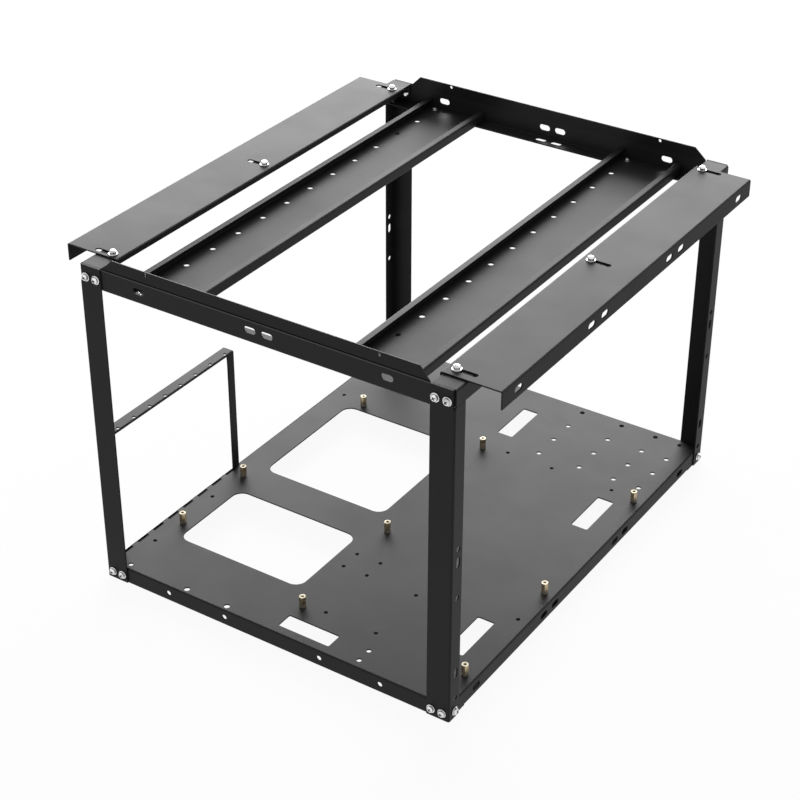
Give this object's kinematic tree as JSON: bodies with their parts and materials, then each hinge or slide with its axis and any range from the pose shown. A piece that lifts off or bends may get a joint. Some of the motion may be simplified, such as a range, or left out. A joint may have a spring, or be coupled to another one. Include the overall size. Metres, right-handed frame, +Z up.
{
  "type": "sheet metal chassis",
  "caption": "Open box frame of folded black sheet steel with a drilled tray, brass standoffs, a slot bracket, card rails and sliding top plates, for a large circuit board.",
  "frame": {"origin": "middle of the frame's footprint, on the surface it stands on", "axes": "+X to the right seen from the front, +Y towards the back, +Z up"},
  "size_m": [0.395, 0.4424, 0.3066],
  "materials": {
    "powder_coat": "smooth semi-gloss black powder coat on sheet steel",
    "brass": "bare turned brass",
    "zinc": "bright zinc plate"
  },
  "bodies": {
    "root": {"base_tray": "powder_coat", "post_front_left": "powder_coat", "post_front_right": "powder_coat", "post_back_left": "powder_coat", "post_back_right": "powder_coat", "side_rail_left": "powder_coat", "side_rail_right": "powder_coat", "end_rail_front": "powder_coat", "end_rail_back": "powder_coat", "card_rail_left": "powder_coat", "card_rail_right": "powder_coat", "top_plate_left": "powder_coat", "top_plate_right": "powder_coat", "slot_bracket": "powder_coat", "standoffs": "brass", "corner_screws": "zinc", "tray_screws": "zinc", "plate_screws": "zinc", "plate_washers": "zinc", "plate_nuts": "zinc", "card_rail_screws": "zinc", "bracket_screw": "zinc"}
  },
  "joints": []
}
